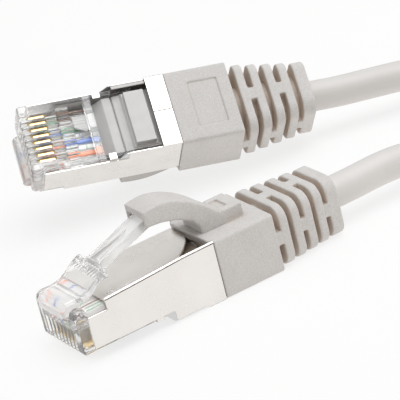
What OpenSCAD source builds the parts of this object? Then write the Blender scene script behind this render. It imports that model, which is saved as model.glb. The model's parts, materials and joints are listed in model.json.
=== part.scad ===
// Ethernet patch cable: two shielded plugs with slotted boots, and the cable between them.
// Plug A lies flat along +X, plug B lies beside it on the edge of its latch hood, and the
// cable's spare length is wound into a tied coil. The origin is the middle of the flat land
// under plug A's boot, on the surface that everything stands on. Units are millimetres.
// Each plug is drawn in its own axes: x from the nose to the cable, z from the contact side
// to the latch side, y across, with contact 1 at +y.

/* [Plug housing] */
// Width of the nose, level with the shield's sides
nose_w = 11.6; // [11.4:0.05:11.7]
// Length of the nose in front of the shield
nose_len = 1.6; // [1.2:0.1:2]
// Height of the nose
nose_h = 6.2; // [6.1:0.05:6.4]
// Bevel along the nose's edges
nose_bevel = 0.5; // [0.2:0.1:0.8]
// Height at which the nose steps in on the latch side
nose_step_z = 5.0; // [4.6:0.1:5.4]
// Height of the housing inside the shield
housing_h = 5.95; // [5.7:0.05:5.95]
// Length of the housing
housing_len = 17; // [15:0.5:18]
// Place where the wire tray opens towards the contact side
tray_start = 5.2; // [5:0.1:5.4]
// Thickness of the housing beside the wire tray
tray_wall = 0.75; // [0.5:0.05:0.9]
// Thickness of the housing over the wire tray
tray_roof = 1.2; // [0.8:0.05:1.25]

/* [Contacts and wires] */
// Distance from one contact to the next
contact_pitch = 1.02; // [1:0.01:1.04]
// Thickness of a contact blade
contact_t = 0.4; // [0.3:0.01:0.44]
// Width of a contact's slot
slot_w = 0.5; // [0.46:0.01:0.56]
// Depth of the contact slots from the contact face
slot_depth = 3.3; // [3.2:0.05:3.4]
// Front edge of a contact
contact_x = 1.35; // [1:0.05:1.5]
// Length of a contact
contact_len = 2.65; // [2.4:0.05:2.8]
// Distance from the contact face in to a contact's crown
contact_inset = 0.3; // [0.2:0.05:0.5]
// Rounding of a contact's crown
contact_round = 0.45; // [0.3:0.05:0.6]
// Diameter of an insulated wire
wire_d = 0.86; // [0.8:0.01:0.88]
// Height of the row of wires in the plug
wire_z = 3.4; // [3.38:0.01:3.45]
// Place where each wire begins under its contact
wire_x = 2.0; // [1.9:0.05:2.3]
// Radius on which the wires lie inside the cable
bundle_r = 1.2; // [1.18:0.01:1.25]

/* [Load bar and inner mould] */
// Front face of the load bar
load_bar_x = 5.6; // [5.5:0.05:6]
// Length of the load bar
load_bar_len = 4.8; // [4:0.1:5]
// Thickness of the load bar under the wires' centres
load_bar_under = 1.1; // [0.9:0.05:1.2]
// Thickness of the load bar over the wires' centres
load_bar_over = 1.0; // [0.6:0.05:1.1]
// Place where the mould's front slope begins
mould_x = 11.0; // [10.8:0.1:11.4]
// Place of the ridge at the top of the slope
mould_ridge_x = 12.4; // [12.2:0.1:12.8]
// Front of the mould's raised pad
mould_pad_x = 15.7; // [15.4:0.1:16]
// Free space between the mould and the shield's rear wall
mould_gap = 0.5; // [0.4:0.1:0.7]
// Half width of the raised pad
mould_pad_half = 4.2; // [4:0.1:4.6]

/* [Shield] */
// Outer width of the shield
shield_w = 11.7; // [11.6:0.05:11.75]
// Thickness of the shield's sheet
sheet_t = 0.3; // [0.2:0.05:0.32]
// Height of the top of the side walls
shield_top = 6.7; // [6.6:0.05:6.7]
// Height of the outer face of the top plate
plate_top = 6.3; // [6.28:0.01:6.35]
// Front edge of the top plate, where the side walls reach full height
plate_x = 4.6; // [4.4:0.1:5]
// Place where the top plate's tongue begins to narrow
tongue_x = 14.2; // [13.5:0.1:15]
// Distance from the end of the tongue to the shield's rear end
tongue_gap = 1.3; // [1:0.1:1.8]
// Half width of the tongue where it begins
tongue_half = 4.84; // [4.5:0.05:5.2]
// Place of the step in the side walls, on the contact side
shield_step_x = 14.0; // [13.8:0.1:14.4]
// Length of the rear band that wraps round the contact side
band_len = 2.8; // [2.3:0.05:2.85]
// Rear end of the shield
shield_end = 21.8; // [21.6:0.1:21.9]
// Gap at the band's butt seam
seam_gap = 0.1; // [0.05:0.05:0.2]
// Length of the collar that clamps the cable, behind the rear wall
collar_len = 4.2; // [3:0.1:4.5]

/* [Latch] */
// Distance from the nose to the latch's hinge line
latch_x = 3.1; // [3:0.05:3.2]
// Height of the latch's hinge line
latch_z = 6.7; // [6.7:0.05:6.75]
// Radius of the round root on which the latch flexes
latch_root_r = 0.5; // [0.4:0.05:0.5]
// Running gap round the latch's and the hood's roots
root_gap = 0.05; // [0.03:0.01:0.08]
// Width of the latch's wide part
latch_w = 7.5; // [6.5:0.1:7.6]
// Width of the latch's narrow part
latch_tip_w = 3.3; // [3:0.05:3.35]
// Thickness of the latch
latch_t = 1.3; // [1.1:0.05:1.35]
// Place where the wide part ends in its shoulders
latch_shoulder_x = 6.7; // [6.4:0.1:6.9]
// Height of the shoulders' top
latch_shoulder_z = 9.3; // [9.1:0.05:9.35]
// End of the latch
latch_tip_x = 15.6; // [15.2:0.1:15.7]
// Height of the end of the latch
latch_tip_z = 12.4; // [12.1:0.05:12.45]
// How far the latch's root block stands out in front of the nose
latch_block_out = 0.9; // [0.7:0.05:1]
// Width of the latch's root block
latch_block_w = 7.3; // [6.5:0.1:7.4]

/* [Boot] */
// Width of the boot's block
boot_w = 12.0; // [11.9:0.05:12.2]
// Height of the block's latch side
boot_top = 7.2; // [7.15:0.05:7.25]
// Distance that the block's underside lies beyond the contact face
boot_drop = 1.4; // [1.38:0.01:1.5]
// Length of the block
boot_len = 9.3; // [9:0.1:9.6]
// Rounding of the block's long edges
boot_round = 0.7; // [0.4:0.1:1]
// How far the lip reaches forward over the shield
lip_len = 0.5; // [0.3:0.1:0.8]
// Thickness of the lip
lip_t = 0.45; // [0.3:0.05:0.45]
// Distance from the block's front to the recessed panel in its underside
panel_inset = 3.05; // [2.85:0.1:3.45]
// Length of the recessed panel
panel_len = 4.4; // [4:0.1:4.8]
// Width of the recessed panel
panel_w = 7.4; // [6:0.1:8]
// Depth of the recessed panel and of the pad's pocket
panel_depth = 0.4; // [0.3:0.05:0.5]
// Distance from the block's front to the pad behind the hood
pad_inset = 3.75; // [3.65:0.05:3.95]
// Length of the pad
pad_len = 3.3; // [3:0.1:3.5]
// Height of the pad's top
pad_top = 9.2; // [9.1:0.05:9.4]

/* [Strain relief] */
// Distance from the block to the first rib
rib_start = 1.3; // [1:0.1:1.5]
// Distance from one rib to the next
rib_pitch = 2.15; // [2:0.05:2.2]
// Thickness of a rib
rib_t = 1.25; // [1:0.05:1.4]
// Thickness of the end collar
end_rib_t = 1.6; // [1.3:0.1:2]
// Number of ribs, the end collar among them
rib_count = 5; // [4:1:6]
// Half width of the first rib
rib_half_first = 5.9; // [5.4:0.1:6]
// Half width of the end collar
rib_half_last = 4.6; // [4.2:0.1:4.8]
// Rounding of the ribs' corners
rib_round = 1.5; // [1:0.1:1.8]
// How far the ribs stand higher than the block on the latch side
rib_rise = 0.4; // [0:0.05:0.5]
// Width of the bridges that join the ribs
bridge_w = 1.9; // [1.4:0.1:2.2]
// Radius of the core inside the ribs
core_r = 3.3; // [3:0.1:3.6]

/* [Latch hood] */
// Width of the hood
hood_w = 5.1; // [4.8:0.1:5.4]
// Thickness of the hood's walls beside the latch
hood_wall = 0.5; // [0.4:0.05:0.55]
// Thickness of the hood's roof over the latch
hood_roof = 1.0; // [0.8:0.05:1.05]
// Front face of the hood
hood_x = 14.4; // [14.2:0.1:14.8]
// Height of the hood's front edge
hood_front_z = 13.75; // [13.6:0.05:14]
// Height of the lower edge at the front
hood_mouth_z = 11.4; // [11:0.1:11.6]
// Distance from the block's front to the hood's hinge line
hood_hinge_inset = 1.45; // [1.35:0.05:1.55]
// Height of the hood's hinge line
hood_hinge_z = 8.2; // [8.2:0.01:8.3]
// Radius of the round root on which the hood flexes
hood_root_r = 0.95; // [0.85:0.05:0.95]
// End of the hollow inside the hood
hood_hollow_end = 19.6; // [19:0.1:20.2]

/* [Cable] */
// Outer diameter of the cable
cable_d = 4.6; // [4.5:0.05:4.65]
// Height of the cable's axis over the contact face
cable_z = 3.2; // [3.1:0.05:3.25]
// Inner diameter of the cable's jacket
jacket_bore = 3.8; // [3.7:0.05:3.9]
// Thickness of the foil screen
foil_t = 0.12; // [0.08:0.01:0.15]
// Free fit of the cable in the boot and collar
cable_fit = 0.03; // [0.02:0.01:0.05]

/* [Coil and tie] */
// Radius of the coil's innermost turn
coil_inner_r = 17.6; // [17:0.1:20]
// Distance from one turn to the next
coil_pitch = 5.1; // [5.1:0.05:5.6]
// Distance from the lower layer of turns to the upper one
coil_layer = 5.05; // [5.05:0.05:5.6]
// Thickness of the tie round the coil
tie_t = 0.5; // [0.3:0.1:0.8]
// Width of the tie
tie_w = 5; // [4:0.5:8]
// Free space between the coil and its tie
tie_gap = 0.1; // [0.05:0.05:0.3]

/* [Plug B's place] */
// How far plug B's nose is from plug A's along X
plug_b_x = 17.75; // [17:0.25:19]
// How far plug B's nose is from plug A's along Y
plug_b_y = 37.5; // [36:0.5:40]
// Roll of plug B about its own length
plug_b_roll = 220.8; // [218:0.2:223]
// Pitch of plug B, cable end down
plug_b_pitch = 7.3; // [6:0.1:8]
// Yaw of plug B
plug_b_yaw = -16.4; // [-18:0.1:-15]

/* [Hidden] */
$fn = 64;
contact_count = 8;
// Overlap of solids that are joined, and a length that runs past every solid.
eps = 0.01;
far = 40;
// Free space between pieces that are seated in each other, and round a wire.
seat_gap = 0.05;
wire_gap = 0.03;
// Share of a round root's radius at which the arm that grows from it begins.
root_inside = 0.92;

housing_half = shield_w / 2 - sheet_t - seat_gap;
tray_half = housing_half - tray_wall;
tray_top = housing_h - tray_roof;
wire_r = wire_d / 2;
row_half = contact_pitch * (contact_count - 1) / 2 + wire_r + 2 * seat_gap;
tunnel_floor = wire_z - wire_r - wire_gap;
tunnel_h = wire_d + 2 * wire_gap;
band_x = shield_end - band_len;
tongue_end = shield_end - tongue_gap;
mould_end = shield_end - sheet_t - mould_gap;
boot_x = shield_end + seat_gap;
panel_x = boot_x + panel_inset;
pad_x = boot_x + pad_inset;
hood_hinge_x = boot_x + hood_hinge_inset;
boot_end = boot_x + boot_len;
relief_end = boot_end + rib_start + rib_pitch * (rib_count - 1) + end_rib_t;
// The shield's lower edges: the rear band stands just clear of the surface under the boot.
band_bottom = -boot_drop + seat_gap;
step_bottom = band_bottom + sheet_t;
wall_low_front = 0.4;
wall_low_rear = 0.2;
mould_pad_z = band_bottom + sheet_t + seat_gap;
mould_half = tray_half - seat_gap;
cable_r = cable_d / 2;
sleeve_r = cable_r + cable_fit;
collar_r = sleeve_r + sheet_t;
screen_r = jacket_bore / 2 - seat_gap / 2;
rib_low = -boot_drop + seat_gap;
rib_top = boot_top + rib_rise;
land_x = (boot_x + panel_x) / 2;

// The row of wires and the bundle inside the cable, and where one turns into the other.
fan_start = 13.2;
fan_lift_end = 16.6;
fan_end = 20.6;
wire_sides = 8;
wire_colors = [
    "#f3dcc4", "#e8792b", "#cfe5cf", "#2f62b5",
    "#cfdcf0", "#3d9350", "#e4d3c3", "#7b4a2b"
];

// Outline of the hood's arch, seen from the side: two curves with four control points each.
// The crest is where the roof is highest, the fall is where it turns down, the heel is where
// it meets the pad, and the throat and the mouth are the ends of the lower curve.
crest_run = 4.1;
crest_rise = 1.15;
fall_run = 7.1;
heel_run = 2.1;
heel_rise = 1.1;
throat_run = 0.3;
throat_rise = 2.1;
mouth_run = 3.8;
mouth_rise = 0.1;
hood_top_curve = [
    [hood_x, hood_front_z],
    [hood_x + crest_run, hood_front_z + crest_rise],
    [hood_x + fall_run, hood_front_z - crest_rise],
    [hood_hinge_x + heel_run, hood_hinge_z + heel_rise]
];
hood_low_curve = [
    [hood_hinge_x - root_inside * hood_root_r, hood_hinge_z],
    [hood_hinge_x - hood_root_r - throat_run, hood_hinge_z + throat_rise],
    [hood_x + mouth_run, hood_mouth_z + mouth_rise],
    [hood_x, hood_mouth_z]
];
curve_steps = 12;

// Height of a point of plug B, in its turned place, over plug B's nose.
b_row = [
    -sin(plug_b_pitch),
    cos(plug_b_pitch) * sin(plug_b_roll),
    cos(plug_b_pitch) * cos(plug_b_roll)
];
b_feet = concat(
    [for (p = curve(hood_top_curve)) [p[0], hood_w / 2, p[1]]],
    [[boot_end, boot_w / 2, boot_top], [relief_end, rib_half_last, rib_top]]
);
plug_b_z = -min([for (p = b_feet) b_row * p]);

// The coil: its middle, the angle where plug B's lead joins it, and its turns.
coil_at = [94.5, 8.5];
coil_start = 135;
coil_turns = 5.75;
coil_rings = 24;
coil_sides = 6;
coil_z = cable_r + tie_t + tie_gap;
tie_angle = 0;

// Route of the leads after their straight ends, from each plug to the coil.
lead_a_route = [
    [28.5, 0, 4.7], [32, 0, 4.5], [35, 0, 3.9], [38.5, 0, 3], [42, 0, 2.5], [46.7, 0, 2.3],
    [51.5, -0.5, 2.9], [56.3, -1.9, 4.2], [60.7, -4.3, 5.9], [64.4, -7.3, 7.3]
];
lead_b_route = [
    [44, 25.1, 5.6], [49, 23.6, 5.2], [54.9, 22.7, 4.2], [59.8, 23.4, 2.9], [64.4, 25.2, 2.5]
];
lead_sides = 8;

letters = ["a", "b"];

// ---- functions ----

function mix(a, b, t) = a + (b - a) * t;
function unit(v) = v / norm(v);
function smooth(t) = t <= 0 ? 0 : t >= 1 ? 1 : t * t * (3 - 2 * t);

function curve_point(c, t) =
    c[0] * pow(1 - t, 3) + c[1] * 3 * t * pow(1 - t, 2) + c[2] * 3 * t * t * (1 - t) + c[3] * pow(t, 3);
function curve(c) = [for (i = [0:curve_steps]) curve_point(c, i / curve_steps)];

function turn_x(p, a) = [p[0], p[1] * cos(a) - p[2] * sin(a), p[1] * sin(a) + p[2] * cos(a)];
function turn_y(p, a) = [p[0] * cos(a) + p[2] * sin(a), p[1], -p[0] * sin(a) + p[2] * cos(a)];
function turn_z(p, a) = [p[0] * cos(a) - p[1] * sin(a), p[0] * sin(a) + p[1] * cos(a), p[2]];
function at_b_point(p) =
    turn_z(turn_y(turn_x(p, plug_b_roll), plug_b_pitch), plug_b_yaw)
    + [plug_b_x - land_x, plug_b_y, plug_b_z];
function at_a_point(p) = p + [-land_x, 0, boot_drop];

// Direction of a path at point i, with the given directions at its two ends.
function heading(path, i, first, last) =
    i == 0 ? first : i == len(path) - 1 ? last : unit(path[i + 1] - path[i - 1]);
// A ring of points round point p, square to direction t.
function ring(p, t, r, sides, turned) =
    let (s = unit(cross(t, [0, 0, 1])), u = cross(s, t))
    [for (k = [0:sides - 1]) let (a = 360 * k / sides + turned) p + r * (cos(a) * s + sin(a) * u)];
// Triangles of a tube of n rings, its two end caps among them.
function tube_faces(n, sides) = concat(
    [for (i = [0:n - 2]) for (k = [0:sides - 1])
        let (a = i * sides + k, b = i * sides + (k + 1) % sides)
        each [[a, b, b + sides], [a, b + sides, a + sides]]],
    [for (k = [1:sides - 2]) [0, k + 1, k]],
    [for (k = [1:sides - 2]) let (o = (n - 1) * sides) [o, o + k, o + k + 1]]
);

// The coil's centre line, t turns after plug B's end: in on the lower layer, out on the upper.
function coil_radius(t) = coil_inner_r + coil_pitch * abs(t - coil_turns / 2);
function coil_height(t) = coil_z + coil_layer * smooth((t - coil_turns / 2) * 2 + 0.5);
function coil_point(t) =
    let (a = coil_start - 360 * t, r = coil_radius(t))
    [coil_at[0] + r * cos(a), coil_at[1] + r * sin(a), coil_height(t)];
coil_steps = round(coil_turns * coil_rings);
coil_body = [for (i = [0:coil_steps]) coil_point(i * coil_turns / coil_steps)];
coil_in = [cos(coil_start - 90), sin(coil_start - 90), 0];
coil_out_angle = coil_start - 360 * coil_turns;
coil_out = [cos(coil_out_angle - 90), sin(coil_out_angle - 90), 0];
coil_path = concat(
    [coil_body[0] - coil_in * cable_d], coil_body, [coil_body[coil_steps] + coil_out * cable_d]
);

lead_a_path = concat(
    [at_a_point([relief_end, 0, cable_z]), at_a_point([relief_end + cable_d, 0, cable_z])],
    lead_a_route,
    [coil_path[len(coil_path) - 1]]
);
lead_b_path = concat(
    [at_b_point([relief_end, 0, cable_z]), at_b_point([relief_end + cable_d, 0, cable_z])],
    lead_b_route,
    [coil_path[0]]
);

// Length of a path, and the least gap between the coil's own turns, measured on its points.
function path_length(p) =
    let (steps = [for (i = [1:len(p) - 1]) norm(p[i] - p[i - 1])], ones = [for (s = steps) 1]) steps * ones;
near_rings = round(coil_rings / 4);
coil_gap = min([for (i = [0:len(coil_path) - 1 - near_rings])
    min([for (j = [i + near_rings:len(coil_path) - 1]) norm(coil_path[i] - coil_path[j])])]) - cable_d;
echo(coil_least_gap = coil_gap);
echo(cable_free_length = path_length(lead_a_path) + path_length(coil_path) + path_length(lead_b_path));

// ---- helpers ----

// Extrudes an outline drawn in y and z along x, from x = from to x = to.
module along_x(from, to) {
    translate([from, 0, 0]) rotate([90, 0, 90]) linear_extrude(height = to - from) children();
}

// Extrudes an outline drawn in x and z across y, to both sides of the middle.
module across_y(w) {
    rotate([90, 0, 0]) linear_extrude(height = w, center = true) children();
}

module rounded_rect(half_w, low, high, r) {
    translate([-half_w + r, low]) square([2 * (half_w - r), high - low]);
    translate([-half_w, low + r]) square([2 * half_w, high - low - 2 * r]);
    for (y = [-half_w + r, half_w - r]) for (z = [low + r, high - r]) translate([y, z]) circle(r);
}

module bar(x, half_w, z, size_x, size_z) {
    translate([x, -half_w, z]) cube([size_x, 2 * half_w, size_z]);
}

// The round root on which a latch or a hood flexes.
module round_root(x, z, r, w) {
    translate([x, 0, z]) rotate([90, 0, 0]) cylinder(h = w, r = r, center = true);
}

module cable_cylinder(from, to, r) {
    translate([from, 0, cable_z]) rotate([0, 90, 0]) cylinder(h = to - from, r = r);
}

module tube(path, first, last, sides, turned) {
    n = len(path);
    polyhedron(
        points = [for (i = [0:n - 1])
            each ring(path[i], heading(path, i, first, last), cable_r, sides, turned)],
        faces = tube_faces(n, sides), convexity = 6
    );
}

module at_a() { translate([-land_x, 0, boot_drop]) children(); }
module at_b() {
    translate([plug_b_x - land_x, plug_b_y, plug_b_z])
        rotate([plug_b_roll, plug_b_pitch, plug_b_yaw]) children();
}

function contact_y(i) = contact_pitch * ((contact_count + 1) / 2 - i);

// ---- one plug's pieces ----

module nose_outline() {
    half = nose_w / 2;
    polygon([
        [-half + nose_bevel, 0], [half - nose_bevel, 0], [half, nose_bevel], [half, nose_step_z],
        [half - nose_bevel, nose_step_z], [half - nose_bevel, nose_h],
        [-half + nose_bevel, nose_h], [-half + nose_bevel, nose_step_z],
        [-half, nose_step_z], [-half, nose_bevel]
    ]);
}

module latch_block_outline() {
    block_low = nose_step_z - nose_bevel;
    block_top = latch_z + latch_root_r + root_gap;
    block_r = (block_top - block_low) / 2;
    translate([block_r - latch_block_out, block_low + block_r]) circle(block_r);
    translate([block_r - latch_block_out, block_low])
        square([latch_x - latch_root_r + latch_block_out - block_r, 2 * block_r]);
}

module plug_housing() {
    color("#dfe6e8", 0.45) difference() {
        union() {
            along_x(0, nose_len) nose_outline();
            bar(nose_len - eps, housing_half, 0, housing_len - nose_len + eps, housing_h);
            across_y(latch_block_w) latch_block_outline();
        }
        for (i = [1:contact_count])
            translate([-eps, contact_y(i) - slot_w / 2, -eps])
                cube([contact_x + contact_len + seat_gap + eps, slot_w, slot_depth + eps]);
        bar(wire_x - seat_gap, row_half, tunnel_floor, tray_start, tunnel_h);
        bar(tray_start, tray_half, -eps, far, tray_top + eps);
        round_root(latch_x, latch_z, latch_root_r + root_gap, far);
    }
}

module latch_side() {
    polygon([
        [latch_x, latch_z + root_inside * latch_root_r], [latch_shoulder_x, latch_shoulder_z],
        [latch_tip_x, latch_tip_z], [latch_tip_x, latch_tip_z - latch_t],
        [latch_shoulder_x, latch_shoulder_z - latch_t], [latch_x, latch_z - root_inside * latch_root_r]
    ]);
}

module latch_plan() {
    wide = latch_w / 2;
    narrow = latch_tip_w / 2;
    neck_x = latch_shoulder_x + 0.5;
    polygon([
        [0, -wide], [latch_shoulder_x, -wide], [neck_x, -narrow], [far, -narrow],
        [far, narrow], [neck_x, narrow], [latch_shoulder_x, wide], [0, wide]
    ]);
}

// The pointed hollow between the two ribs on the latch's upper face.
module latch_hollow() {
    hollow_inset = 1.2;
    hollow_depth = 0.6;
    rib_w = 0.6;
    end_wall = 2.8;
    half = latch_tip_w / 2 - rib_w;
    rise = (latch_tip_z - latch_shoulder_z) / (latch_tip_x - latch_shoulder_x);
    hollow_x = latch_shoulder_x + hollow_inset;
    hollow_end = latch_tip_x - end_wall;
    low = latch_shoulder_z + rise * hollow_inset - hollow_depth;
    low_end = low + rise * (hollow_end - hollow_x);
    intersection() {
        across_y(2 * half) polygon([[hollow_x, low], [hollow_end, low_end], [hollow_end, far], [hollow_x, far]]);
        linear_extrude(height = far) polygon([[hollow_x, -half], [hollow_end, 0], [hollow_x, half]]);
    }
}

module latch() {
    color("#dfe6e8", 0.45) difference() {
        union() {
            round_root(latch_x, latch_z, latch_root_r, latch_w);
            intersection() {
                across_y(latch_w) latch_side();
                linear_extrude(height = far) latch_plan();
            }
        }
        latch_hollow();
    }
}

module shield_side_outline() {
    bump_inset = 1.4;
    bump_x = shield_step_x - bump_inset;
    bump_w = 0.9;
    bump_out = 0.35;
    polygon([
        [nose_len, wall_low_front], [nose_len, nose_step_z], [plate_x, nose_step_z], [plate_x, shield_top],
        [shield_end, shield_top], [shield_end, band_bottom], [band_x, band_bottom],
        [shield_step_x, step_bottom], [shield_step_x, wall_low_rear], [bump_x + bump_w, wall_low_rear],
        [bump_x + bump_w / 2, wall_low_rear - bump_out], [bump_x, wall_low_rear]
    ]);
}

module tongue_outline() {
    inner = shield_w / 2 - sheet_t + eps;
    reach = tongue_end - tongue_x;
    front = plate_x + 0.2;
    polygon(concat(
        [[front, -inner], [tongue_x, -inner]],
        [for (a = [-90:10:90]) [tongue_x + reach * cos(a), tongue_half * sin(a)]],
        [[tongue_x, inner], [front, inner]]
    ));
}

// Two small tabs bent in over the housing's edges, one from each side wall.
module crimp_tabs() {
    tab_inset = 2.7;
    tab_x = shield_step_x - tab_inset;
    tab_w = 1;
    tab_reach = 1.45;
    tab_z = -seat_gap - sheet_t;
    for (s = [0, 1]) mirror([0, s, 0]) translate([tab_x, shield_w / 2, tab_z]) {
        translate([0, -tab_reach, 0]) cube([tab_w, tab_reach, sheet_t]);
        translate([0, -sheet_t, 0]) cube([tab_w, sheet_t, wall_low_front - tab_z + eps]);
    }
}

module shield() {
    rear_wall_h = tray_top - band_bottom;
    color("#e2ddd8") difference() {
        union() {
            for (y = [-1, 1])
                translate([0, y * (shield_w - sheet_t) / 2, 0]) across_y(sheet_t) shield_side_outline();
            translate([0, 0, plate_top - sheet_t]) linear_extrude(height = sheet_t) tongue_outline();
            bar(band_x, shield_w / 2 - eps, band_bottom, shield_end - band_x, sheet_t);
            bar(shield_end - sheet_t, shield_w / 2 - eps, band_bottom, sheet_t, rear_wall_h);
            crimp_tabs();
            cable_cylinder(shield_end - eps, shield_end + collar_len, collar_r);
        }
        cable_cylinder(shield_end - 2 * sheet_t, far, sleeve_r);
        bar(band_x - eps, seam_gap / 2, band_bottom - eps, shield_end - band_x - sheet_t, sheet_t + 2 * eps);
    }
}

module load_bar() {
    low = wire_z - load_bar_under;
    groove_h = load_bar_under + wire_r + wire_gap;
    color("#eef1f2", 0.6) difference() {
        bar(load_bar_x, mould_half, low, load_bar_len, load_bar_under + load_bar_over);
        for (i = [1:contact_count])
            translate([load_bar_x - eps, contact_y(i) - wire_r - wire_gap, low - eps])
                cube([load_bar_len + 2 * eps, wire_d + 2 * wire_gap, groove_h + eps]);
    }
}

module inner_mould() {
    slope_z = 2.1;
    ridge_z = 0.5;
    groove_x = shield_step_x - 0.4;
    groove_end = groove_x + 0.9;
    groove_z = 1.1;
    body_z = 0.1;
    top = tray_top - seat_gap;
    bundle_room = bundle_r + wire_r + 5 * seat_gap;
    front = mould_x - 1;
    back = mould_end + 1;
    color("#a5a6a7") difference() {
        union() {
            across_y(2 * mould_half) polygon([
                [mould_x, slope_z], [mould_ridge_x, ridge_z], [groove_x, ridge_z], [groove_x, groove_z],
                [groove_end, groove_z], [(mould_pad_x + groove_end) / 2, body_z],
                [mould_end, body_z], [mould_end, top], [mould_x, top]
            ]);
            bar(mould_pad_x, mould_pad_half, mould_pad_z, mould_end - mould_pad_x,
                body_z - mould_pad_z + eps);
        }
        translate([0, 0, cable_z - bundle_room]) linear_extrude(height = 2 * bundle_room) polygon([
            [front, -row_half], [fan_lift_end, -row_half], [back, -bundle_room],
            [back, bundle_room], [fan_lift_end, row_half], [front, row_half]
        ]);
    }
}

module foil_screen() {
    color("#c9ccd0") difference() {
        cable_cylinder(mould_end + seat_gap, relief_end, screen_r);
        cable_cylinder(mould_end, 2 * far, screen_r - foil_t);
    }
}

module cable_jacket() {
    color("#e4e2e0") difference() {
        cable_cylinder(shield_end - sheet_t, relief_end, cable_r);
        cable_cylinder(shield_end - 2 * sheet_t, 2 * far, jacket_bore / 2);
    }
}

module contact(i) {
    color("#d8a93a") translate([0, contact_y(i), 0]) across_y(contact_t) {
        r = contact_round;
        translate([contact_x, contact_inset + r]) square([contact_len, tunnel_floor - contact_inset - r]);
        translate([contact_x + r, contact_inset]) square([contact_len - 2 * r, r + eps]);
        for (x = [contact_x + r, contact_x + contact_len - r]) translate([x, contact_inset + r]) circle(r);
    }
}

// A wire's centre line: straight in the row, then up or down, then in to the round bundle.
// The bundle's upper half takes the odd wires and its lower half the even ones.
bundle_step = 360 / contact_count;
function bundle_angle(i) = (i % 2 == 0 ? -1 : 1) * bundle_step * (floor((i - 1) / 2) + 1 / 2);
function wire_point(i, x) =
    let (a = bundle_angle(i), lift = smooth((x - fan_start) / (fan_lift_end - fan_start)),
         draw = smooth((x - fan_lift_end) / (fan_end - fan_lift_end)))
    [x, mix(contact_y(i), bundle_r * cos(a), draw), mix(wire_z, cable_z + bundle_r * sin(a), lift)];

module wire(i) {
    stations = concat(
        [wire_x, fan_start],
        [for (k = [1:4]) mix(fan_start, fan_lift_end, k / 4)],
        [for (k = [1:5]) mix(fan_lift_end, fan_end, k / 5)],
        [relief_end]
    );
    color(wire_colors[i - 1]) polyhedron(
        points = [for (x = stations) for (k = [0:wire_sides - 1])
            wire_point(i, x) + wire_r * [0, cos(360 * k / wire_sides), sin(360 * k / wire_sides)]],
        faces = [for (f = tube_faces(len(stations), wire_sides)) [f[0], f[2], f[1]]], convexity = 4
    );
}

module ribs() {
    for (i = [0:rib_count - 1]) {
        x = boot_end + rib_start + i * rib_pitch;
        half = mix(rib_half_first, rib_half_last, i / (rib_count - 1));
        t = i == rib_count - 1 ? end_rib_t : rib_t;
        along_x(x, x + t) rounded_rect(half, rib_low, rib_top, rib_round);
    }
}

// Bridges across the gaps: at the two sides for even gaps, at top and bottom for odd ones.
module bridges() {
    for (i = [0:rib_count - 1]) {
        x = boot_end + rib_start + i * rib_pitch;
        gap = i == 0 ? rib_start : rib_pitch - rib_t;
        half = mix(rib_half_first, rib_half_last, i / (rib_count - 1));
        if (i % 2 == 0) bar(x - gap - eps, half, cable_z - bridge_w / 2, gap + 2 * eps, bridge_w);
        else bar(x - gap - eps, bridge_w / 2, rib_low, gap + 2 * eps, rib_top - rib_low);
    }
}

// The pad behind the hood, with a seat for the hood's round root.
module pad_outline() {
    root_x = hood_hinge_x + hood_root_r + root_gap;
    step_rise = 0.3;
    low = boot_top - eps;
    polygon([
        [root_x, low], [root_x, hood_hinge_z + seat_gap], [pad_x, hood_hinge_z + seat_gap + step_rise],
        [pad_x, pad_top], [pad_x + pad_len, pad_top], [pad_x + pad_len, low]
    ]);
}

module boot() {
    pocket_x = pad_x + 0.4;
    pocket_len = 1.3;
    pocket_half = 1.5;
    lip_half = boot_w / 2 - 0.3;
    color("#cfcbc7") difference() {
        union() {
            along_x(boot_x, boot_end) rounded_rect(boot_w / 2, -boot_drop, boot_top, boot_round);
            bar(boot_x - lip_len, lip_half, boot_top - lip_t, lip_len + eps, lip_t);
            across_y(hood_w) pad_outline();
            cable_cylinder(boot_end - eps, relief_end, core_r);
            ribs();
            bridges();
        }
        cable_cylinder(boot_x - eps, boot_x + collar_len + seat_gap, collar_r + seat_gap);
        cable_cylinder(boot_x, 2 * far, sleeve_r);
        bar(panel_x, panel_w / 2, -boot_drop - eps, panel_len, panel_depth + eps);
        bar(pocket_x, pocket_half, pad_top - panel_depth, pocket_len, far);
        round_root(hood_hinge_x, hood_hinge_z, hood_root_r + root_gap, far);
    }
}

module hood_side() {
    polygon(concat(curve(hood_top_curve), [[hood_hinge_x, hood_hinge_z]], curve(hood_low_curve)));
}

// The hollow under the hood's roof, open below, in which the latch's end moves.
module hood_hollow() {
    roof = [for (p = curve(hood_top_curve)) if (p[0] < hood_hollow_end) [p[0], p[1] - hood_roof]];
    front = hood_x - 1;
    across_y(hood_w - 2 * hood_wall) polygon(concat(
        [[front, hood_hinge_z], [front, hood_front_z - hood_roof]], roof, [[hood_hollow_end, hood_hinge_z]]
    ));
}

module latch_hood() {
    color("#cfcbc7") difference() {
        union() {
            round_root(hood_hinge_x, hood_hinge_z, hood_root_r, hood_w);
            across_y(hood_w) hood_side();
        }
        hood_hollow();
    }
}

// ---- cable ----

module cable_lead_a() {
    color("#e4e2e0") tube(lead_a_path, [1, 0, 0], -coil_out, lead_sides, 0);
}
module cable_lead_b() {
    color("#e4e2e0") tube(lead_b_path, unit(lead_b_path[1] - lead_b_path[0]), coil_in, lead_sides, 0);
}
module cable_coil() {
    color("#e4e2e0") tube(coil_path, coil_in, coil_out, coil_sides, 180 / coil_sides);
}

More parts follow.
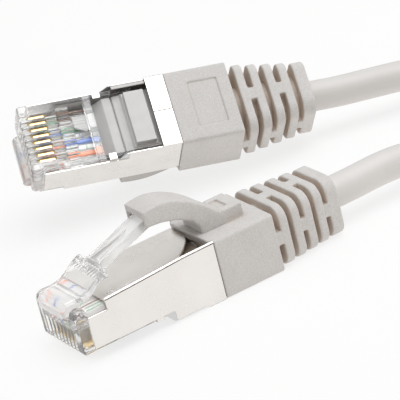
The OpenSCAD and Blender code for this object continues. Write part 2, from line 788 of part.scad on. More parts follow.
module coil_tie() {
    half_angle = asin(tie_w / 2 / coil_inner_r);
    first_turn = (coil_start - tie_angle) / 360;
    radii = [for (k = [0:floor(coil_turns)]) for (s = [-1, 0, 1])
        coil_radius(first_turn + k + s * half_angle / 360) * cos(s * half_angle)];
    inner = min(radii) - cable_r - tie_gap;
    outer = max(radii) + cable_r + tie_gap;
    top = coil_z + coil_layer + cable_r + tie_gap;
    color("#3c3d40") translate([coil_at[0], coil_at[1], 0]) rotate([0, 0, tie_angle]) difference() {
        translate([inner - tie_t, -tie_w / 2, 0]) cube([outer - inner + 2 * tie_t, tie_w, top + tie_t]);
        translate([inner, -tie_w, tie_t]) cube([outer - inner, 2 * tie_w, top - tie_t]);
    }
}

at_a() plug_housing();  // plug_housing_a
at_b() plug_housing();  // plug_housing_b
at_a() latch();  // latch_a
at_b() latch();  // latch_b
at_a() shield();  // shield_a
at_b() shield();  // shield_b
at_a() load_bar();  // load_bar_a
at_b() load_bar();  // load_bar_b
at_a() inner_mould();  // inner_mould_a
at_b() inner_mould();  // inner_mould_b
at_a() foil_screen();  // foil_screen_a
at_b() foil_screen();  // foil_screen_b
at_a() cable_jacket();  // cable_jacket_a
at_b() cable_jacket();  // cable_jacket_b
at_a() boot();  // boot_a
at_b() boot();  // boot_b
at_a() latch_hood();  // latch_hood_a
at_b() latch_hood();  // latch_hood_b
for (i = [1:contact_count]) {
    at_a() contact(i);
    at_b() contact(i);
    at_a() wire(i);
    at_b() wire(i);
}
cable_lead_a();
cable_lead_b();
cable_coil();
coil_tie();
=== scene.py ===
import json
import math

import bmesh
import bpy
import numpy as np
from mathutils import Matrix, Vector


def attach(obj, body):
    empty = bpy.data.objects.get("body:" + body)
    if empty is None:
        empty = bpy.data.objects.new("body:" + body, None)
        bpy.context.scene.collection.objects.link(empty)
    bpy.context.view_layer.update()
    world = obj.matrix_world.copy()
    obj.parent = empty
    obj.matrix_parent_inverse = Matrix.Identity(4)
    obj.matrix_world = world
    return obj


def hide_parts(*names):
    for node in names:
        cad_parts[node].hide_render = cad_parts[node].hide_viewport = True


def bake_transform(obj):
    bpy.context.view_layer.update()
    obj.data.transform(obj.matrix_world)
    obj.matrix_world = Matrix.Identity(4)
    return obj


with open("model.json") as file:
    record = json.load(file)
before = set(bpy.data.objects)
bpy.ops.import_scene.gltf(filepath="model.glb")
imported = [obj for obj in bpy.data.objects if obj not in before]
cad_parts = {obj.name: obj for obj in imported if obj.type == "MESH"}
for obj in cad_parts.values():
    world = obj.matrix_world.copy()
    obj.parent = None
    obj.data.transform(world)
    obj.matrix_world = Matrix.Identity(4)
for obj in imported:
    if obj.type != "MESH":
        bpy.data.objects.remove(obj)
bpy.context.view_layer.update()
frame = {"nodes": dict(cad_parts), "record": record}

MM = 0.001


# ---- places of the two plugs ----

# Plug-local millimetres to the row frame in metres. Local x runs from the nose to the cable,
# z from the contact side to the latch side, and contact 1 is at +y.
LAND_X, BOOT_DROP = 23.375, 1.4
PLUG_B_AT = (17.75 - LAND_X, 37.5, 14.3659)
PLUG_B_YAW, PLUG_B_PITCH, PLUG_B_ROLL = -16.4, 7.3, 220.8
PLACES = {
    "a": Matrix.Scale(MM, 4) @ Matrix.Translation((-LAND_X, 0, BOOT_DROP)),
    "b": Matrix.Scale(MM, 4)
    @ Matrix.Translation(PLUG_B_AT)
    @ Matrix.Rotation(math.radians(PLUG_B_YAW), 4, "Z")
    @ Matrix.Rotation(math.radians(PLUG_B_PITCH), 4, "Y")
    @ Matrix.Rotation(math.radians(PLUG_B_ROLL), 4, "X"),
}


# ---- camera ----

EYE, TARGET = Vector((-0.152375, -0.3177, 0.1654)), Vector((0.013025, 0.02515, 0))
CAMERA_ROLL, FOCAL_LENGTH, SENSOR_WIDTH = 14.35, 259.4, 36
CLIP_START, CLIP_END = 0.01, 10


def add_camera():
    ahead = (TARGET - EYE).normalized()
    level = ahead.cross(Vector((0, 0, 1))).normalized()
    up = level.cross(ahead)
    roll = math.radians(CAMERA_ROLL)
    side = math.cos(roll) * level - math.sin(roll) * up
    top = math.sin(roll) * level + math.cos(roll) * up
    data = bpy.data.cameras.new("camera")
    data.sensor_width, data.lens = SENSOR_WIDTH, FOCAL_LENGTH
    data.clip_start, data.clip_end = CLIP_START, CLIP_END
    camera = bpy.data.objects.new("camera", data)
    camera.matrix_world = Matrix((side, top, -ahead)).transposed().to_4x4()
    camera.location = EYE
    bpy.context.scene.collection.objects.link(camera)
    bpy.context.scene.camera = camera


# ---- cable ----

CABLE_D, CABLE_LENGTH = 4.6 * MM, 0.997
# The cable's route at each plug, from the boot to the coil, in millimetres of the row frame
LEAD_A = [
    (19.275, 0, 4.6), (23.875, 0, 4.6), (28.5, 0, 4.7), (32, 0, 4.5), (35, 0, 3.9),
    (38.5, 0, 3), (42, 0, 2.5), (46.7, 0, 2.3), (51.5, -0.5, 2.9), (56.3, -1.9, 4.2),
    (60.7, -4.3, 5.9), (64.4, -7.3, 7.3),
]
LEAD_B = [
    (35.2532, 27.6485, 6.54384), (39.6303, 26.3603, 5.95934), (44, 25.1, 5.6), (49, 23.6, 5.2),
    (54.9, 22.7, 4.2), (59.8, 23.4, 2.9), (64.4, 25.2, 2.5),
]
COIL_AT = (94.5, 8.5)
COIL_START, COIL_TURNS, COIL_RINGS = 135, 5.75, 24
COIL_INNER_R, COIL_PITCH, COIL_LAYER, COIL_Z = 17.6, 5.1, 5.05, 2.9
# Share of a turn in which the cable climbs from one layer to the next
COIL_CLIMB = 0.5
# The tie's inner face, as distances from the coil's middle along x and from the floor
TIE_LOW, TIE_HIGH, TIE_CORNER = (17.75, 0.5), (32.75, 10.35), 2.4
TIE_T, TIE_W, TIE_START, TIE_LIFT = 0.5, 5, 24, 0.53
# The tie's end: how far back from its start, and the share of the lift that lays it on top
TIE_END = ((2.5, 0), (1.7, 0.2), (0.8, 0.8), (0, 1), (-5.5, 1))


def smooth(t):
    t = min(max(t, 0), 1)
    return t * t * (3 - 2 * t)


def coil_point(turn):
    angle = math.radians(COIL_START - 360 * turn)
    radius = COIL_INNER_R + COIL_PITCH * abs(turn - COIL_TURNS / 2)
    height = COIL_Z + COIL_LAYER * smooth((turn - COIL_TURNS / 2) / COIL_CLIMB + 0.5)
    return (COIL_AT[0] + radius * math.cos(angle), COIL_AT[1] + radius * math.sin(angle), height)


def cable_route():
    """From plug A's boot to the coil's upper layer, in, down and out, and on to plug B's boot."""
    steps = round(COIL_TURNS * COIL_RINGS)
    coil = [coil_point(COIL_TURNS * (1 - i / steps)) for i in range(steps + 1)]
    end = math.radians(COIL_START - 360 * COIL_TURNS - 90)
    start = math.radians(COIL_START - 90)
    stub = CABLE_D / MM
    first = (coil[0][0] + stub * math.cos(end), coil[0][1] + stub * math.sin(end), coil[0][2])
    last = (coil[-1][0] - stub * math.cos(start), coil[-1][1] - stub * math.sin(start), coil[-1][2])
    return LEAD_A + [first] + coil + [last] + LEAD_B[::-1]


def add_cable():
    data = bpy.data.curves.new("cable", "CURVE")
    data.dimensions = "3D"
    data.bevel_depth = CABLE_D / 2
    data.bevel_resolution = 6
    data.resolution_u = 4
    data.use_fill_caps = True
    points = cable_route()
    line = data.splines.new("BEZIER")
    line.bezier_points.add(len(points) - 1)
    for knot, place in zip(line.bezier_points, points):
        knot.co = Vector(place) * MM
        knot.handle_left_type = knot.handle_right_type = "AUTO"
    cable = bpy.data.objects.new("cable", data)
    bpy.context.scene.collection.objects.link(cable)
    return cable


def tie_stations():
    """Places once round the coil's two layers, each with the way out from it in degrees, and a
    lift that lays the strap's end over its beginning."""
    left, right = TIE_LOW[0] + TIE_CORNER, TIE_HIGH[0] - TIE_CORNER
    bottom, top = TIE_LOW[1] + TIE_CORNER, TIE_HIGH[1] - TIE_CORNER
    stations = [((TIE_START, TIE_HIGH[1]), 90, 0)]
    for (x, z), first in (
        ((right, top), 90), ((right, bottom), 0), ((left, bottom), -90), ((left, top), -180),
    ):
        for way in range(first, first - 100, -10):
            angle = math.radians(way)
            place = (x + TIE_CORNER * math.cos(angle), z + TIE_CORNER * math.sin(angle))
            stations.append((place, way, 0))
    for back, share in TIE_END:
        stations.append(((TIE_START - back, TIE_HIGH[1]), 90, TIE_LIFT * share))
    return stations


def tie_mesh():
    rings = []
    for (x, z), way, lift in tie_stations():
        out_x, out_z = math.cos(math.radians(way)), math.sin(math.radians(way))
        ring = []
        for away, side in ((0, -1), (0, 1), (1, 1), (1, -1)):
            reach = lift + away * TIE_T
            ring.append((
                COIL_AT[0] + x + reach * out_x, COIL_AT[1] + side * TIE_W / 2, z + reach * out_z,
            ))
        rings.append(ring)
    return swept(rings)


# ---- shapes from distance fields ----

# A shape is a function of x, y and z arrays in millimetres that is negative inside.

def between(u, low, high):
    """Distance to the stretch from low to high."""
    return np.abs(u - (low + high) / 2) - (high - low) / 2


def rounded(a, b, radius):
    """What two distances that are short by a radius have in common, with its edge rounded."""
    outside = np.hypot(np.maximum(a, 0), np.maximum(b, 0))
    return np.minimum(np.maximum(a, b), 0) + outside - radius


def extrude(flat, along, low, high, rim):
    """A flat distance, thickened from low to high along an axis, with its rims rounded."""
    return rounded(flat + rim, between(along, low, high) + rim, rim)


def slab(u, v, low, high, corner):
    """A flat rectangle between two corners, with its own corners rounded."""
    across, up = between(u, low[0], high[0]), between(v, low[1], high[1])
    return rounded(across + corner, up + corner, corner)


def outline_distance(u, v, points):
    """Signed distance to a closed outline."""
    away = np.full(np.shape(u), np.inf)
    inside = np.zeros(np.shape(u), bool)
    for (au, av), (bu, bv) in zip(points, points[1:] + points[:1]):
        eu, ev = bu - au, bv - av
        t = np.clip(((u - au) * eu + (v - av) * ev) / (eu * eu + ev * ev), 0, 1)
        away = np.minimum(away, np.hypot(u - au - t * eu, v - av - t * ev))
        crosses = (av <= v) != (bv <= v)
        side = (bu - au) * (v - av) - (u - au) * (bv - av)
        inside ^= crosses & ((side > 0) == (bv > av))
    return np.where(inside, -away, away)


def join(a, b, fillet):
    """The union of two shapes, with a fillet where they meet."""
    near = np.maximum(fillet - np.abs(a - b), 0) / fillet
    return np.minimum(a, b) - near * near * fillet / 4


def cut(a, b, fillet):
    """One shape with another taken out of it, with the edge softened."""
    return -join(-a, b, fillet)


def through(points, steps=5):
    """A smooth line through given points."""
    ends = [points[0]] + list(points) + [points[-1]]
    line = []
    for a, b, c, d in zip(ends, ends[1:], ends[2:], ends[3:]):
        for i in range(steps):
            t = i / steps
            line.append(tuple(
                0.5 * (2 * q + (r - p) * t + (2 * p - 5 * q + 4 * r - s) * t * t
                       + (3 * q - p - 3 * r + s) * t ** 3)
                for p, q, r, s in zip(a, b, c, d)
            ))
    return line + [tuple(points[-1])]


def skin(shape, low, high, step):
    """The surface of a shape as points and quads, in millimetres: one point in each cell that the
    surface passes, moved onto it, and one quad round each grid edge that it crosses."""
    axes = [np.arange(a - 1.5 * step, b + 1.5 * step, step) for a, b in zip(low, high)]
    field = shape(*np.meshgrid(*axes, indexing="ij"))
    size = tuple(n - 1 for n in field.shape)
    total = np.zeros(size + (3,))
    count = np.zeros(size)
    crossings = []
    for axis in range(3):
        head = [slice(None)] * 3
        tail = [slice(None)] * 3
        head[axis], tail[axis] = slice(0, -1), slice(1, None)
        a, b = field[tuple(head)], field[tuple(tail)]
        crossed = (a < 0) != (b < 0)
        place = np.argwhere(crossed)
        share = (a / np.where(a == b, 1, a - b))[crossed]
        point = place.astype(float)
        point[:, axis] += share
        crossings.append((place, (a < 0)[crossed]))
        others = [i for i in range(3) if i != axis]
        for shift in ((0, 0), (0, 1), (1, 0), (1, 1)):
            cell = place.copy()
            cell[:, others[0]] -= shift[0]
            cell[:, others[1]] -= shift[1]
            fits = np.all((cell >= 0) & (cell < size), axis=1)
            np.add.at(total, tuple(cell[fits].T), point[fits])
            np.add.at(count, tuple(cell[fits].T), 1)
    used = count > 0
    index = np.full(size, -1)
    index[used] = np.arange(used.sum())
    start = np.array([a[0] for a in axes])
    points = total[used] / count[used][:, None] * step + start
    nudge = step / 8
    for _ in range(3):
        slope = np.stack([
            shape(*(points + nudge * e).T) - shape(*(points - nudge * e).T) for e in np.eye(3)
        ], 1) / (2 * nudge)
        reach = shape(*points.T) / np.maximum((slope ** 2).sum(1), 0.25)
        points -= np.clip(reach, -step / 2, step / 2)[:, None] * slope
    quads = []
    for axis, (place, leaving) in enumerate(crossings):
        u, v = (axis + 1) % 3, (axis + 2) % 3
        ring = []
        for du, dv in ((1, 1), (0, 1), (0, 0), (1, 0)):
            cell = place.copy()
            cell[:, u] -= du
            cell[:, v] -= dv
            ring.append(index[tuple(cell.T)])
        ring = np.stack(ring, 1)
        ring[~leaving] = ring[~leaving][:, ::-1]
        quads.append(ring)
    return points, np.concatenate(quads)


# ---- meshes and pieces ----

def add_mesh(name, place, points, faces, smooth_faces=True):
    data = bpy.data.meshes.new(name)
    data.from_pydata([tuple(p) for p in points], [], [tuple(int(i) for i in f) for f in faces])
    data.transform(place)
    data.validate()
    data.polygons.foreach_set("use_smooth", [smooth_faces] * len(data.polygons))
    piece = bpy.data.objects.new(name, data)
    bpy.context.scene.collection.objects.link(piece)
    return piece


def prism(outline, axis, low, high):
    """An outline, thickened from low to high along x, y or z, as points and faces."""
    count = len(outline)
    points = []
    for along in (low, high):
        for u, v in outline:
            points.append({"x": (along, u, v), "y": (u, along, v), "z": (u, v, along)}[axis])
    sides = [(i, (i + 1) % count, count + (i + 1) % count, count + i) for i in range(count)]
    return points, [tuple(range(count))[::-1], tuple(range(count, 2 * count))] + sides


def box(low, high):
    """A box between two corners, as points and faces."""
    corners = [(low[1], low[2]), (high[1], low[2]), (high[1], high[2]), (low[1], high[2])]
    return prism(corners, "x", low[0], high[0])


def swept(rings):
    """A tube through rings of points, closed at both ends, as points and faces."""
    count = len(rings[0])
    points = [point for ring in rings for point in ring]
    last = len(points) - count
    faces = []
    for i in range(0, last, count):
        for j in range(count):
            a, b = i + j, i + (j + 1) % count
            faces.append((a, b, b + count, a + count))
    return points, faces + [tuple(range(count)), tuple(range(last, len(points)))[::-1]]


def together(*parts):
    """Several meshes as one list of points and one of faces."""
    points, faces = [], []
    for more, their_faces in parts:
        faces += [tuple(i + len(points) for i in face) for face in their_faces]
        points += list(more)
    return points, faces


def add_edged(name, place, mesh, rounding):
    """A mesh with flat faces whose sharp edges are rounded."""
    piece = add_mesh(name, place, *mesh, smooth_faces=False)
    work = bmesh.new()
    work.from_mesh(piece.data)
    bmesh.ops.recalc_face_normals(work, faces=work.faces)
    work.to_mesh(piece.data)
    work.free()
    round_edges(piece, rounding)
    return piece


def round_edges(piece, rounding):
    weld = piece.modifiers.new("weld", "WELD")
    weld.merge_threshold = 0.001 * MM
    bevel = piece.modifiers.new("bevel", "BEVEL")
    bevel.width = rounding * MM
    bevel.segments = 2
    bevel.limit_method = "ANGLE"
    bevel.angle_limit = math.radians(40)
    bevel.harden_normals = True


def add_piece(looks, name, place, mesh, slot, rounding=None, look=None, rides="root", node=None):
    """A mesh with its look's material, or its slot's where it has no look, riding on a body and
    hiding the node that it stands for. One that has a rounding has flat faces."""
    if rounding:
        piece = add_edged(name, place, mesh, rounding)
    else:
        piece = add_mesh(name, place, *mesh)
    piece.data.materials.append(looks[look or slot])
    if rides:
        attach(piece, rides)
    if node:
        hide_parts(node)
    return piece


# ---- clear housing ----

CONTACT_PITCH, CONTACTS = 1.02, 8
CONTACT_Y = [CONTACT_PITCH * ((CONTACTS + 1) / 2 - i) for i in range(1, CONTACTS + 1)]
WIRE_Z = 3.4
HOUSING_HALF, HOUSING_H, HOUSING_LEN = 5.5, 5.95, 17
NOSE_LEN, NOSE_HALF, NOSE_STEP_Z, NOSE_H = 1.6, 5.8, 5, 6.2
BROW_Z, BROW_HALF = 3, 5.3
ROOT_BLOCK_LOW, ROOT_BLOCK_HIGH, ROOT_BLOCK_HALF = (-0.9, 4.5), (2.6, 7.25), 3.65
LATCH_ROOT, LATCH_ROOT_R, LATCH_BED_R = (3.1, 6.7), 0.5, 0.56
SLOT_HALF, SLOT_TOP, SLOT_END = 0.25, 3.3, 4.0
WINDOW_TOP, WINDOW_END = 1.5, 5.4
TUNNEL_START, TUNNEL_LOW, TUNNEL_HIGH = 1.95, (-4.1, 2.94), (4.1, 3.86)
TRAY_START, TRAY_HALF, TRAY_TOP = 5.4, 4.75, 4.75
# Where cuts end that are open: before the slots, and under and behind the tray
OPEN_FRONT, OPEN_UNDER, OPEN_BEHIND = -2, -3, 30


def across_wires(y):
    """The distance in y to the nearest wire's middle."""
    return (np.mod(y / CONTACT_PITCH, 1) - 0.5) * CONTACT_PITCH


def root_block(x, y, z):
    """The rounded block at the nose that the latch grows from."""
    side = slab(x, z, ROOT_BLOCK_LOW, ROOT_BLOCK_HIGH, 1.1)
    return extrude(side, y, -ROOT_BLOCK_HALF, ROOT_BLOCK_HALF, 0.4)


def housing_shape(x, y, z):
    front = slab(y, z, (-NOSE_HALF, 0), (NOSE_HALF, NOSE_STEP_Z), 0.5)
    nose = extrude(front, x, 0, NOSE_LEN, 0.3)
    brow = extrude(slab(x, z, (0, BROW_Z), (NOSE_LEN, NOSE_H), 0.7), y, -BROW_HALF, BROW_HALF, 0.5)
    front = slab(y, z, (-HOUSING_HALF, 0), (HOUSING_HALF, HOUSING_H), 0.25)
    whole = join(join(nose, brow, 0.3), extrude(front, x, 1, HOUSING_LEN, 0.15), 0.1)
    whole = join(whole, root_block(x, y, z), 0.15)
    beside_rows = np.abs(y) - CONTACTS / 2 * CONTACT_PITCH
    beside_blade = np.abs(across_wires(y)) - SLOT_HALF
    slots = np.maximum(extrude(beside_blade, x, OPEN_FRONT, SLOT_END, 0), z - SLOT_TOP)
    windows = np.maximum(beside_blade, np.maximum(x - WINDOW_END, z - WINDOW_TOP))
    tunnel = extrude(slab(y, z, TUNNEL_LOW, TUNNEL_HIGH, 0.1), x, TUNNEL_START, TRAY_START + 1, 0)
    front = slab(y, z, (-TRAY_HALF, OPEN_UNDER), (TRAY_HALF, TRAY_TOP), 0.2)
    tray = extrude(front, x, TRAY_START, OPEN_BEHIND, 0.1)
    bed = np.hypot(x - LATCH_ROOT[0], z - LATCH_ROOT[1]) - LATCH_BED_R
    for gap in (
        np.maximum(slots, beside_rows), np.maximum(windows, beside_rows), tunnel, tray, bed,
    ):
        whole = cut(whole, gap, 0.06)
    return whole


def window_floors():
    """The frosted floors of the slots behind the contacts."""
    return together(*[
        box((SLOT_END, y - 0.24, WINDOW_TOP - 0.2), (WINDOW_END, y + 0.24, WINDOW_TOP))
        for y in CONTACT_Y
    ])


# Cloudy volumes in the root block and under the housing's face beside the latch's foot
HAZE_SIDE = [(-0.4, 5.2), (2.3, 5.2), (2.3, 5.9), (1.6, 6.6), (0.2, 6.6), (-0.4, 6)]
HAZE_HALF, HAZE_BED = 3.3, ((1.8, -5.42, 4.9), (5.3, 5.42, 5.6))
GLINT_T = 0.05


def wire_glints():
    """Painted reflections of the wires' colours, as the clear plastic repeats them above the wires,
    in the root block and under the cross bar: outlines in x and y with a height, for each colour."""
    places = {
        "wire_orange": [
            ([(0.95, 3), (0.8, 1.6), (-0.1, 0.7), (-0.25, 0.9), (0.5, 1.8), (0.65, 3)], 6.25),
            ([(-0.2, -3.1), (-0.25, -2.1), (-0.38, -2.1), (-0.36, -3.1)], 5.9),
            ([(2.9, 3.5), (4.6, 3.5), (4.6, 4.2), (2.9, 4.2)], 5.6),
            ([(9.85, 2.7), (10.6, 2.7), (10.6, 3.7), (9.85, 3.7)], 1.2),
        ],
        "wire_blue": [
            ([(0.85, -0.3), (0.75, -0.7), (-0.1, -1.35), (-0.3, -1.15), (0.55, -0.25)], 6.25),
            ([(2.9, 1.4), (4.9, 1.1), (4.9, 1.6), (2.9, 1.9)], 5.6),
            ([(4.4, -0.35), (5.1, -0.35), (5.1, 0), (4.4, 0)], 5.7),
            ([(9.85, 1.1), (10.6, 1.1), (10.6, 1.75), (9.85, 1.75)], 1.2),
        ],
        "wire_green": [
            ([(1.8, -2.35), (5, -1.85), (5, -1.5), (1.8, -1.95)], 5.7),
            ([(2.1, -4.75), (4.85, -4.7), (4.85, -4.55), (2.1, -4.6)], 5.72),
            ([(1.9, -5.3), (4.2, -5.25), (4.2, -5.18), (1.9, -5.2)], 5.72),
        ],
        "wire_brown": [
            ([(1.8, -4.05), (4.9, -3.85), (4.9, -3.6), (1.8, -3.8)], 5.7),
            ([(1.9, -3.1), (4.9, -2.9), (4.9, -2.82), (1.9, -3.02)], 5.7),
            ([(2.9, -1.15), (3.5, -1.15), (3.5, -0.9), (2.9, -0.9)], 5.7),
        ],
    }
    return {
        slot: together(*[prism(outline, "z", z, z + GLINT_T) for outline, z in marks])
        for slot, marks in places.items()
    }


# ---- latch ----

LATCH_TOP = [
    (1.7, 7.1), (2.5, 7.2), (3.4, 7.5), (4.9, 8.47), (5.6, 9), (6.2, 9.3), (6.7, 9.42),
    (8.9, 10.15), (10.6, 10.75), (12.4, 11.42), (14.2, 12.1), (15.6, 12.45),
]
LATCH_UNDER = [
    (15.6, 11.2), (13.7, 10.5), (12, 9.9), (10.2, 9.25), (8.5, 8.7), (6.9, 8.05), (5.6, 7.95),
    (3.6, 6.3), (2.8, 6.3), (1.7, 6.5),
]
LATCH_PLAN = [
    (1, -3.75), (6.8, -3.75), (6.9, -1.9), (7.2, -1.65), (17, -1.65),
    (17, 1.65), (7.2, 1.65), (6.9, 1.9), (6.8, 3.75), (1, 3.75),
]
RAIL_HOLLOW = [(7.2, -1.15), (12.7, 0), (7.2, 1.15)]
WEB_DEPTH, WEB_T = 0.22, 0.3
LATCH_HALF, RAIL_START = 3.75, 6.95
# The fine teeth across the shoulders: their height and pitch, and where they are and fade out
TOOTH_H, TOOTH_PITCH, TEETH_X, TEETH_REACH = 0.06, 0.75, 6, 0.5


def latch_shape(x, y, z):
    fade = np.exp(-((x - TEETH_X) / TEETH_REACH) ** 2)
    teeth = TOOTH_H * np.cos(2 * math.pi * y / TOOTH_PITCH) * fade
    side = outline_distance(x, z + teeth, LATCH_TOP + LATCH_UNDER)
    arm = extrude(side, y, -LATCH_HALF, LATCH_HALF, 0.2)
    arm = np.maximum(arm, outline_distance(x, y, LATCH_PLAN))
    arm = cut(arm, outline_distance(x, y, RAIL_HOLLOW), 0.1)
    root = np.hypot(x - LATCH_ROOT[0], z - LATCH_ROOT[1]) - LATCH_ROOT_R
    return join(arm, np.maximum(root, np.abs(y) - LATCH_HALF), 0.1)


def latch_foot(x, y, z):
    return np.maximum(latch_shape(x, y, z), x - RAIL_START)


def latch_rails(x, y, z):
    return np.maximum(latch_shape(x, y, z), RAIL_START - x)


def latch_web():
    """The thin web between the latch's two rails."""
    top_x, top_z = zip(*LATCH_TOP)
    (start, _), (tip, _), (_, widest) = RAIL_HOLLOW
    rings = []
    for x in np.linspace(start - 0.1, tip, 12):
        half = widest * max(tip - x, 0.05) / (tip - start) + 0.05
        z = np.interp(x, top_x, top_z) - WEB_DEPTH
        rings.append([(x, -half, z), (x, half, z), (x, half, z - WEB_T), (x, -half, z - WEB_T)])
    return swept(rings)


# ---- shield ----

SHIELD_HALF, SHIELD_END, SHEET, PLATE_TOP = 5.85, 21.8, 0.3, 6.3
SHIELD_SIDE = [
    (1.6, 0.4), (1.6, 5), (4.6, 5), (4.6, 8), (21.8, 8), (21.8, -1.35), (19, -1.35), (18.9, -1.05),
    (14, -1.05), (13.95, 0.4),
]
WALL_CREST = [(4.6, 5.5), (4.6, 6.5), (9.4, 6.73), (17, 7.15), (21.8, 7.2), (21.8, 5.5)]
PLATE = [
    (4.6, 7), (4.6, -7), (13.9, -7), (14.4, -5.2), (16.03, -4.19), (16.9, -3.85), (17.8, -3.35),
    (18.86, -2.4), (19.84, -1.32), (20.74, -0.1), (21.4, 1.3), (21.5, 7),
]
GUSSET = [(12.3, 0.42), (14.05, 0.42), (14.05, -1.04), (13.65, -1.04), (12.5, 0.25)]
BAND_START, BAND_LOW, BAND_HIGH, SEAM = 19, -1.35, -1.05, 0.1
REAR_BORE, REAR_HALF, REAR_LOW, REAR_HIGH = 2.5, 5.6, -1.2, 6.0
TAB_START, TAB_END, TAB_LOW, TAB_HIGH, TAB_OUT = 11.15, 12.3, -0.15, -0.03, 5.65
# A dark sheet that paints the shade on the floor inside the shield's rear
SHIELD_FLOOR = [(14.5, 4.75), (21.4, 5.3), (21.4, 5.4), (14.5, 4.85)]
SHIELD_FLOOR_HALF = 5.45
# A grey sheet inside the far wall that paints the wall's shade
PAINTED_SHADE_LINING = ((14, -5.56, -0.98), (18.95, -5.1, -0.8))
# A dark box that paints the shade in the cavity beside the load bar
CAVITY = ((7.4, -4.72, 4.35), (9.7, -3.4, 4.7))


def shield_shape(x, y, z):
    outer = slab(y, z, (-SHIELD_HALF, -9), (SHIELD_HALF, PLATE_TOP), 0.75)
    inner = slab(y, z, (SHEET - SHIELD_HALF, -9), (SHIELD_HALF - SHEET, PLATE_TOP - SHEET), 0.45)
    sheet = np.maximum(outer, -inner)
    sheet = np.maximum(sheet, np.minimum(outline_distance(x, y, PLATE), z - 5.5))
    sheet = np.maximum(sheet, outline_distance(x, z, SHIELD_SIDE))
    near = extrude(outline_distance(x, z, WALL_CREST), y, -SHIELD_HALF, SHEET - SHIELD_HALF, 0.04)
    return np.minimum(sheet, near)


def flattened(points, faces):
    """Points near the planes of the walls and the plate, put exactly on them."""
    points = points.copy()
    for axis, plane in ((1, SHIELD_HALF), (1, -SHIELD_HALF), (2, PLATE_TOP)):
        near = np.abs(points[:, axis] - plane) < 0.03
        points[near, axis] = plane
    return points, faces


def shield_folds():
    """The rear band with its seam, the rear wall round the cable, and the two tabs that are bent
    in over the housing's edges."""
    band_half = SHIELD_HALF - 0.02
    parts = [
        box((BAND_START, -band_half, BAND_LOW), (SHIELD_END, -SEAM / 2, BAND_HIGH)),
        box((BAND_START, SEAM / 2, BAND_LOW), (SHIELD_END, band_half, BAND_HIGH)),
    ]
    ring = [(math.cos(math.radians(a)), math.sin(math.radians(a))) for a in range(0, 360, 12)]
    for side in (-1, 1):
        half = [(side * c * REAR_BORE, CABLE_Z + s * REAR_BORE) for c, s in ring if c > -0.01]
        half.sort(key=lambda p: p[1])
        edge = side * REAR_HALF
        wall = [(0, REAR_LOW)] + half + [(0, REAR_HIGH), (edge, REAR_HIGH), (edge, REAR_LOW)]
        parts.append(prism(wall, "x", SHIELD_END - SHEET, SHIELD_END))
        for inner, top in ((4.65, TAB_HIGH), (5.53, 0.5)):
            near, off = sorted((side * inner, side * TAB_OUT))
            parts.append(box((TAB_START, near, TAB_LOW), (TAB_END, off, top)))
    return together(*parts)


def gussets():
    """The folded corners where the walls reach further down."""
    parts = []
    for side in (-1, 1):
        low, high = sorted((side * (SHIELD_HALF - 0.2), side * (SHIELD_HALF - 0.1)))
        parts.append(prism(GUSSET, "y", low, high))
    return together(*parts)


def crest_strip(section):
    """A strip along the near wall's upper edge, with its section as steps outwards and upwards."""
    return swept([
        [(x, -SHIELD_HALF - out, z + rise) for out, rise in section] for x, z in WALL_CREST[1:5]
    ])


# A pale strip on the crest, a painted highlight of the bend
PAINTED_HIGHLIGHT_EDGE = [(0.02, -0.12), (-0.15, 0.06), (-0.32, 0.06), (-0.32, -0.12)]
# A dark strip below the crest's bright line: a painted reflection of the dark that the bend mirrors
PAINTED_DARK_LINE = [(0.02, -0.27), (0.02, -0.13), (-0.06, -0.13), (-0.06, -0.27)]


# ---- contacts, load bar and mould ----

CONTACT_T, WIRE_BORE = 0.4, 0.49
CONTACT_SIDE = [
    (2.2, 2.9), (2.2, 1.4), (1.1, 1.2), (1.05, 0.65), (1.15, 0.42), (1.4, 0.3), (3.6, 0.3),
    (3.85, 0.42), (3.95, 0.65), (3.95, 1.4), (3.2, 1.4), (3.2, 2.9),
]
LOAD_BAR_STEPS = [((5.55, 0.95), (7.45, 4.4)), ((7.4, 1.4), (9.75, 4.4))]
LOAD_BAR_HALF, LOAD_BAR_RIB = 4.15, 0.05
CROSS_BAR = ((9.65, -5.4, 0.05), (10.75, 5.4, 1.1))
MOULD_SIDE = [
    (10.85, 2.1), (12.4, 0.5), (13.65, 0.4), (13.75, 0.9), (13.95, 0.45), (15.05, 0.3),
    (15.15, 0.1), (21, 0.1), (21, 4.7), (10.85, 4.7),
]
MOULD_HALF, MOULD_PAD_HALF, MOULD_PAD, PAD_STEP = 4.7, 4.25, (15.45, 18.45, -1.05), 0.25
MOULD_APRON = [(7.7, -3.2), (10.9, -3.2), (10.9, -0.9), (9.6, -0.9), (9.55, -0.5), (7.7, -1.4)]


def load_bar_shape(x, y, z):
    """A stepped clear bar with a rib between each two wires."""
    ribbed = z + LOAD_BAR_RIB * np.cos(2 * math.pi * y / CONTACT_PITCH)
    front, back = [
        extrude(slab(x, ribbed, low, high, 0.15), y, -LOAD_BAR_HALF, LOAD_BAR_HALF, 0.1)
        for low, high in LOAD_BAR_STEPS
    ]
    bores = np.hypot(across_wires(y), z - WIRE_Z) - WIRE_BORE
    bores = np.maximum(bores, np.abs(y) - TUNNEL_HIGH[0])
    return cut(np.minimum(front, back), bores, 0.04)


def milky_bars():
    """The rails beside the wires, and the cavity's white rim."""
    return together(
        box((5.55, 4.2, 0.5), (9.6, 4.7, 3)),
        box((4.6, 4.6, -0.03), (7.4, 5.5, 0.5)),
        box((7.4, 4.65, -0.03), (9.6, 5.35, 0.4)),
        box((7.4, -3.4, 1.7), (9.7, -3.2, 2.15)),
        box((5.55, -4.7, 0.7), (7.4, -4.2, 3)),
    )


